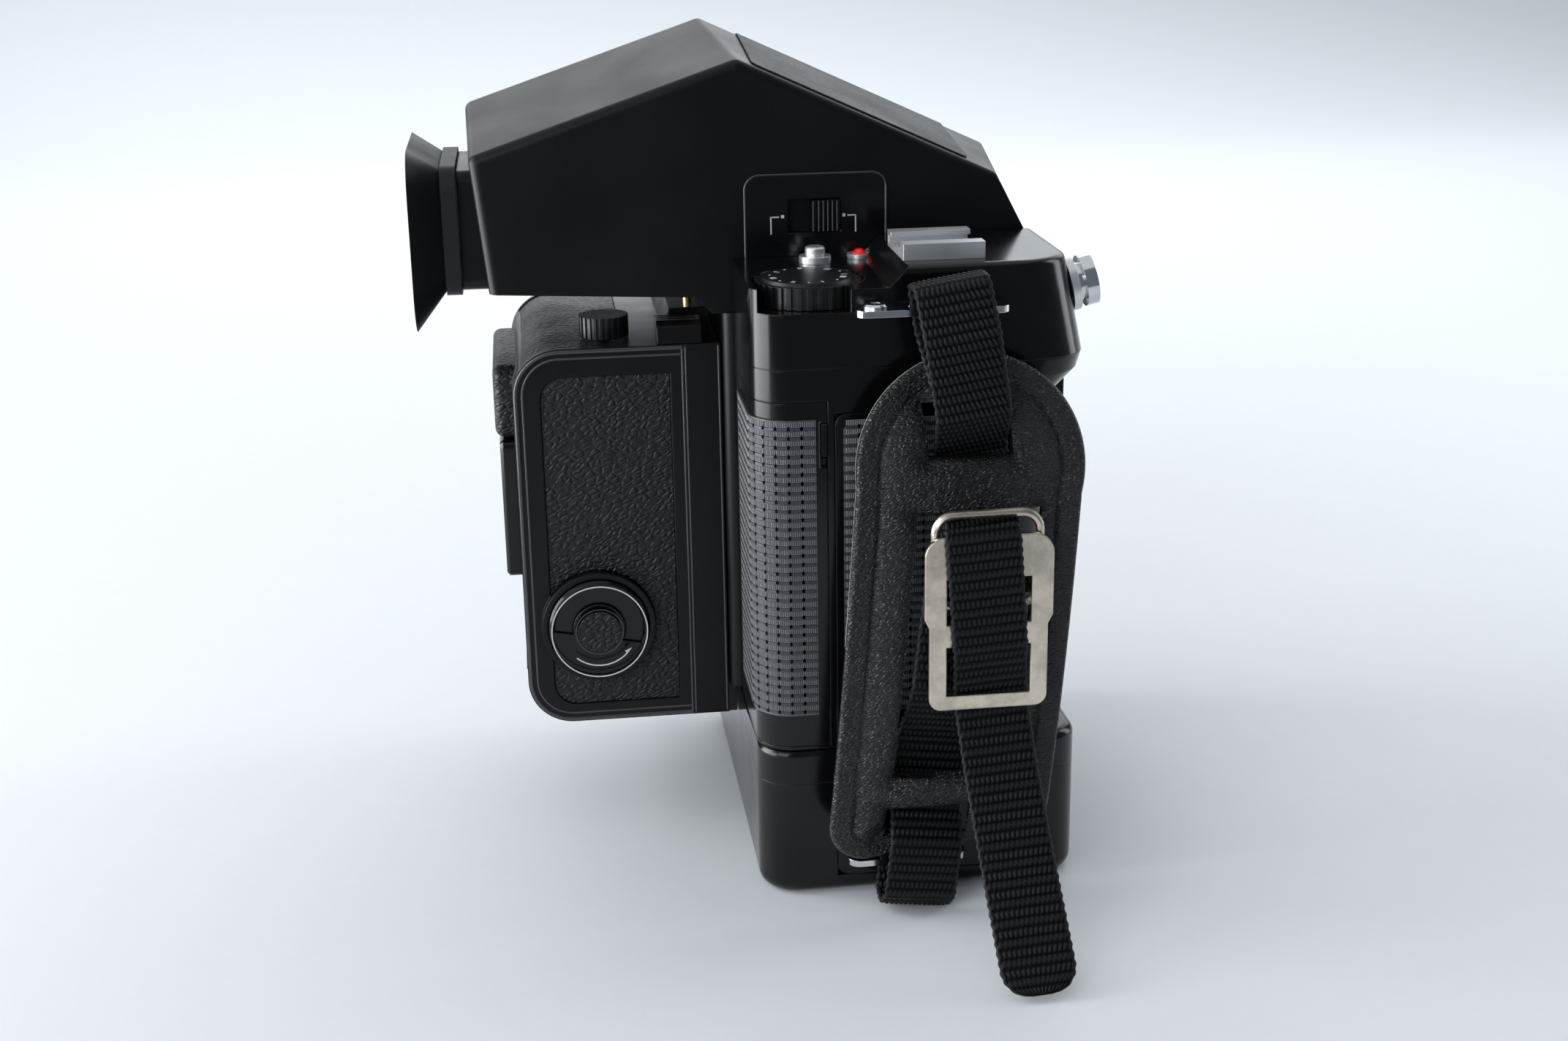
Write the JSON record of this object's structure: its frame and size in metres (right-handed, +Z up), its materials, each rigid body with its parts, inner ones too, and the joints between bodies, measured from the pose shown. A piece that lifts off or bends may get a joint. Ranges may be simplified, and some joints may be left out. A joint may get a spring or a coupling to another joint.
{
  "type": "medium format film camera",
  "caption": "Boxy medium format film camera body with prism finder, rubber eyecup, film magazine with folding wind key, and motor grip with dial, ribbed battery cover and webbing hand strap.",
  "frame": {"origin": "mouth of the tripod socket, in the middle of the base's underside", "axes": "+X out of the lens mount, +Y to the viewer's left, away from the grip, +Z up"},
  "size_m": [0.17, 0.189, 0.2135],
  "materials": {
    "gloss_black": "polished",
    "satin_black": "satin",
    "matte_black": "matte",
    "dial_black": "satin",
    "leatherette": "satin",
    "pad_leather": "satin",
    "ribbed_rubber": "matte",
    "eyecup_rubber": "matte",
    "webbing": "woven",
    "chrome": "polished",
    "nickel": "worn satin",
    "bare_steel": "brushed",
    "slide_steel": "brushed",
    "steel_dark": "satin",
    "brass": "polished",
    "mirror_silver": "polished",
    "frosted_glass": "frosted",
    "clear_glass": "polished",
    "red_lens": "polished",
    "cell_label": "satin",
    "spool_plastic": "satin"
  },
  "bodies": {
    "camera": {"body_shell": "satin_black", "front_panel": "satin_black", "lens_mount_ring": "chrome", "case_screws": "steel_dark", "body_leather": "leatherette", "body_strap_lugs": "chrome", "lower_hooks": "steel_dark", "focusing_screen": "frosted_glass", "base_housing": "gloss_black", "base_top_cover": "gloss_black", "tripod_socket": "brass", "drive_motor": "bare_steel", "grip_column": "gloss_black", "battery_holder": "matte_black", "battery_cells": "cell_label", "grip_side_panel": "gloss_black", "grip_rubber": "ribbed_rubber", "top_housing": "gloss_black", "hot_shoe": "chrome", "red_lamp": "red_lens", "control_collars": "chrome", "strap_lug_top": "chrome", "strap_lug_bottom": "chrome", "hand_pad": "pad_leather", "webbing_upper": "webbing", "webbing_lower": "webbing", "strap_tail": "webbing", "buckle_frame": "nickel", "buckle_loop": "nickel"},
    "mirror": {"mirror": "mirror_silver"},
    "light_baffle": {"light_baffle": "matte_black"},
    "lens_release_button": {"lens_release_button": "chrome"},
    "drive_coupler": {"drive_coupler": "bare_steel"},
    "battery_cover": {"battery_cover": "gloss_black", "battery_rubber": "ribbed_rubber"},
    "battery_latch": {"battery_latch": "gloss_black"},
    "mode_dial": {"mode_dial": "dial_black"},
    "check_button": {"check_button": "chrome"},
    "shutter_button": {"shutter_button": "chrome"},
    "magazine": {"magazine_frame": "satin_black", "magazine_shell": "satin_black", "magazine_leather": "leatherette", "film_insert": "bare_steel"},
    "magazine_door": {"magazine_door": "leatherette", "memo_holder": "gloss_black"},
    "supply_spool": {"supply_spool": "spool_plastic"},
    "film_wind": {"wind_knob": "gloss_black", "takeup_spool": "spool_plastic"},
    "wind_key": {"wind_key": "gloss_black"},
    "dark_slide": {"dark_slide": "slide_steel"},
    "release_slider": {"release_slider": "gloss_black"},
    "film_speed_wheel": {"film_speed_wheel": "dial_black"},
    "prism_finder": {"prism_housing": "satin_black", "roof_covering": "leatherette", "side_plate": "gloss_black", "prism_glass": "clear_glass", "eyepiece": "satin_black", "eyecup": "eyecup_rubber", "contact_pin": "brass"},
    "mode_slider": {"mode_slider": "gloss_black"}
  },
  "joints": [
    {"name": "mirror_swing", "type": "hinge", "parent": "camera", "child": "mirror", "pos_m": [-0.036, 0, 0.127], "axis": [0, -1, 0], "range_deg": [0, 45]},
    {"name": "baffle_swing", "type": "hinge", "parent": "camera", "child": "light_baffle", "pos_m": [-0.0393, 0, 0.118], "axis": [0, -1, 0], "range_deg": [0, 90]},
    {"name": "lens_release_press", "type": "slide", "parent": "camera", "child": "lens_release_button", "axis": [-1, 0, 0], "range_m": [0, 0.0009], "stiffness_N_per_m": 600},
    {"name": "coupler_turn", "type": "hinge", "parent": "camera", "child": "drive_coupler", "pos_m": [-0.006, 0.0225, 0.035], "axis": [0, 0, 1], "continuous": true},
    {"name": "battery_cover_swing", "type": "hinge", "parent": "camera", "child": "battery_cover", "pos_m": [-0.0399, -0.0491, 0.086], "axis": [0, 0, -1], "range_deg": [0, 70]},
    {"name": "battery_latch_press", "type": "slide", "parent": "battery_cover", "child": "battery_latch", "axis": [0, 0, -1], "range_m": [0, 0.0024], "stiffness_N_per_m": 300},
    {"name": "mode_dial_turn", "type": "hinge", "parent": "camera", "child": "mode_dial", "pos_m": [-0.0256, -0.0685, 0.155], "axis": [0, 0, 1], "range_deg": [-120, 120]},
    {"name": "check_button_press", "type": "slide", "parent": "camera", "child": "check_button", "axis": [0, 0, -1], "range_m": [0, 0.001], "stiffness_N_per_m": 500},
    {"name": "shutter_press", "type": "slide", "parent": "camera", "child": "shutter_button", "axis": [-0.979, 0, -0.204], "range_m": [0, 0.0012], "stiffness_N_per_m": 600},
    {"name": "magazine_tilt", "type": "hinge", "parent": "camera", "child": "magazine", "pos_m": [-0.0437, 0, 0.032], "axis": [0, -1, 0], "range_deg": [0, 8]},
    {"name": "magazine_door_swing", "type": "hinge", "parent": "magazine", "child": "magazine_door", "pos_m": [-0.0972, 0, 0.0449], "axis": [0, -1, 0], "range_deg": [0, 100]},
    {"name": "supply_spool_turn", "type": "hinge", "parent": "magazine", "child": "supply_spool", "pos_m": [-0.0786, 0, 0.108], "axis": [0, 1, 0], "continuous": true},
    {"name": "film_wind_turn", "type": "hinge", "parent": "magazine", "child": "film_wind", "pos_m": [-0.0786, -0.038, 0.06], "axis": [0, -1, 0], "continuous": true},
    {"name": "wind_key_fold", "type": "hinge", "parent": "film_wind", "child": "wind_key", "pos_m": [-0.07888, -0.04035, 0.05853], "axis": [0.9826, 0, -0.1857], "range_deg": [0, 90]},
    {"name": "dark_slide_pull", "type": "slide", "parent": "magazine", "child": "dark_slide", "axis": [0, 1, 0], "range_m": [0, 0.085]},
    {"name": "magazine_release", "type": "slide", "parent": "magazine", "child": "release_slider", "axis": [0, 1, 0], "range_m": [0, 0.0022], "stiffness_N_per_m": 400},
    {"name": "film_speed_turn", "type": "hinge", "parent": "magazine", "child": "film_speed_wheel", "pos_m": [-0.0735, -0.024, 0.138], "axis": [0, 0, 1], "range_deg": [-150, 150]},
    {"name": "finder_lift", "type": "slide", "parent": "camera", "child": "prism_finder", "axis": [0, 0, 1], "range_m": [0, 0.04]},
    {"name": "mode_slide", "type": "slide", "parent": "prism_finder", "child": "mode_slider", "axis": [-1, 0, 0], "range_m": [0, 0.0058]}
  ],
  "couplings": [
    {"joint": "baffle_swing", "follows": "mirror_swing", "ratio": 2}
  ]
}
